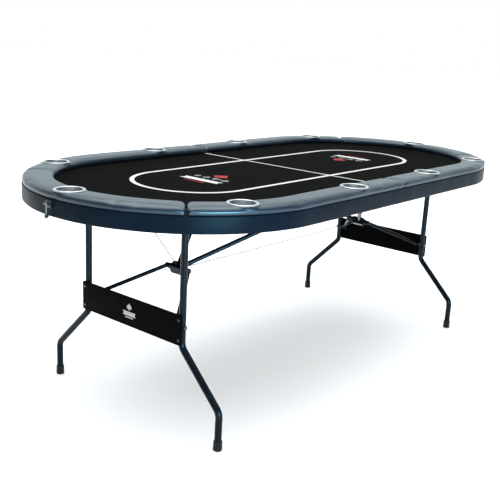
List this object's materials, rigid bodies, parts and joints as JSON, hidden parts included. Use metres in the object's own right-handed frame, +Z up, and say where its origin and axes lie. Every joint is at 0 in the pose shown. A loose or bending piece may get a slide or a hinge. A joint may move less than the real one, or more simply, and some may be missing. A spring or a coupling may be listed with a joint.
{
  "type": "poker table",
  "caption": "Folding oval card table: padded rail with steel cup holders, felt top in two hinged halves, braced folding tube legs.",
  "frame": {"origin": "on the floor under the centre of the top", "axes": "+X along the length towards the far half, +Y to the back, +Z up"},
  "size_m": [2.141, 1.024, 0.762],
  "materials": {
    "rail_vinyl": "smooth black vinyl with a blue-grey sheen",
    "skirt_vinyl": "satin blue-black vinyl",
    "felt": "matte black speed cloth",
    "board": "black-stained fibreboard",
    "steel": "bright stainless",
    "enamel": "gloss black enamel",
    "panel_board": "matte black",
    "zinc": "blackened zinc",
    "rubber": "matte black",
    "cord": "grey braided shock cord",
    "latch_steel": "bright",
    "knob": "gloss black"
  },
  "bodies": {
    "near_half": {"near_deck": "board", "near_felt": "felt", "near_rail_base": "board", "near_skirt": "skirt_vinyl", "near_end_pad": "rail_vinyl", "near_front_pad": "rail_vinyl", "near_back_pad": "rail_vinyl", "near_end_cup": "steel", "near_side_cups": "steel", "near_fold_batten": "board", "near_leg_brackets": "enamel", "near_brace_anchors": "enamel", "near_bracket_screws": "zinc", "near_hinge_leaves": "zinc", "near_hub_cord": "cord", "near_release_cord": "cord", "latch_base": "latch_steel"},
    "far_half": {"far_deck": "board", "far_felt": "felt", "far_rail_base": "board", "far_skirt": "skirt_vinyl", "far_end_pad": "rail_vinyl", "far_front_pad": "rail_vinyl", "far_back_pad": "rail_vinyl", "far_end_cup": "steel", "far_side_cups": "steel", "far_fold_batten": "board", "far_leg_brackets": "enamel", "far_brace_anchors": "enamel", "far_bracket_screws": "zinc", "far_hinge_leaves": "zinc", "far_hub_cord": "cord", "far_release_cord": "cord", "hinge_pins": "zinc", "latch_catch": "latch_steel"},
    "near_leg": {"near_front_leg_tube": "enamel", "near_back_leg_tube": "enamel", "near_cross_tube": "enamel", "near_panel": "panel_board", "near_panel_screws": "zinc", "near_foot_caps": "rubber", "near_brace_bolts": "zinc"},
    "far_leg": {"far_front_leg_tube": "enamel", "far_back_leg_tube": "enamel", "far_cross_tube": "enamel", "far_panel": "panel_board", "far_panel_screws": "zinc", "far_foot_caps": "rubber", "far_brace_bolts": "zinc"},
    "near_upper_arms": {"near_upper_brace": "enamel"},
    "far_upper_arms": {"far_upper_brace": "enamel"},
    "near_lower_arms": {"near_lower_arms": "enamel", "near_hub_bolts": "zinc"},
    "far_lower_arms": {"far_lower_arms": "enamel", "far_hub_bolts": "zinc"},
    "latch": {"latch_bar": "latch_steel", "latch_knob": "knob"}
  },
  "joints": [
    {"name": "centre_fold", "type": "hinge", "parent": "near_half", "child": "far_half", "pos_m": [0, 0, 0.685], "axis": [0, 1, 0], "range_deg": [0, 90]},
    {"name": "near_leg_fold", "type": "hinge", "parent": "near_half", "child": "near_leg", "pos_m": [-0.76, 0, 0.703], "axis": [0, -1, 0], "range_deg": [0, 90], "deforming": ["near_hub_cord", "near_release_cord"]},
    {"name": "near_upper_brace_turn", "type": "hinge", "parent": "near_half", "child": "near_upper_arms", "pos_m": [-0.04, 0, 0.703], "axis": [0, 1, 0], "range_deg": [0, 26.32]},
    {"name": "near_lower_brace_turn", "type": "hinge", "parent": "near_leg", "child": "near_lower_arms", "pos_m": [-0.76, 0, 0.347], "axis": [0, -1, 0], "range_deg": [0, 63.7]},
    {"name": "far_leg_fold", "type": "hinge", "parent": "far_half", "child": "far_leg", "pos_m": [0.76, 0, 0.703], "axis": [0, 1, 0], "range_deg": [0, 90], "deforming": ["far_hub_cord", "far_release_cord"]},
    {"name": "far_upper_brace_turn", "type": "hinge", "parent": "far_half", "child": "far_upper_arms", "pos_m": [0.04, 0, 0.703], "axis": [0, -1, 0], "range_deg": [0, 26.32]},
    {"name": "far_lower_brace_turn", "type": "hinge", "parent": "far_leg", "child": "far_lower_arms", "pos_m": [0.76, 0, 0.347], "axis": [0, 1, 0], "range_deg": [0, 63.7]},
    {"name": "latch_swing", "type": "hinge", "parent": "near_half", "child": "latch", "pos_m": [-1.064, 0.026, 0.722], "axis": [0, 1, 0], "range_deg": [0, 100]}
  ],
  "couplings": [
    {"joint": "near_upper_brace_turn", "follows": "near_leg_fold", "ratio": 0.29233},
    {"joint": "near_lower_brace_turn", "follows": "near_leg_fold", "ratio": 0.70767},
    {"joint": "far_upper_brace_turn", "follows": "far_leg_fold", "ratio": 0.29233},
    {"joint": "far_lower_brace_turn", "follows": "far_leg_fold", "ratio": 0.70767}
  ]
}
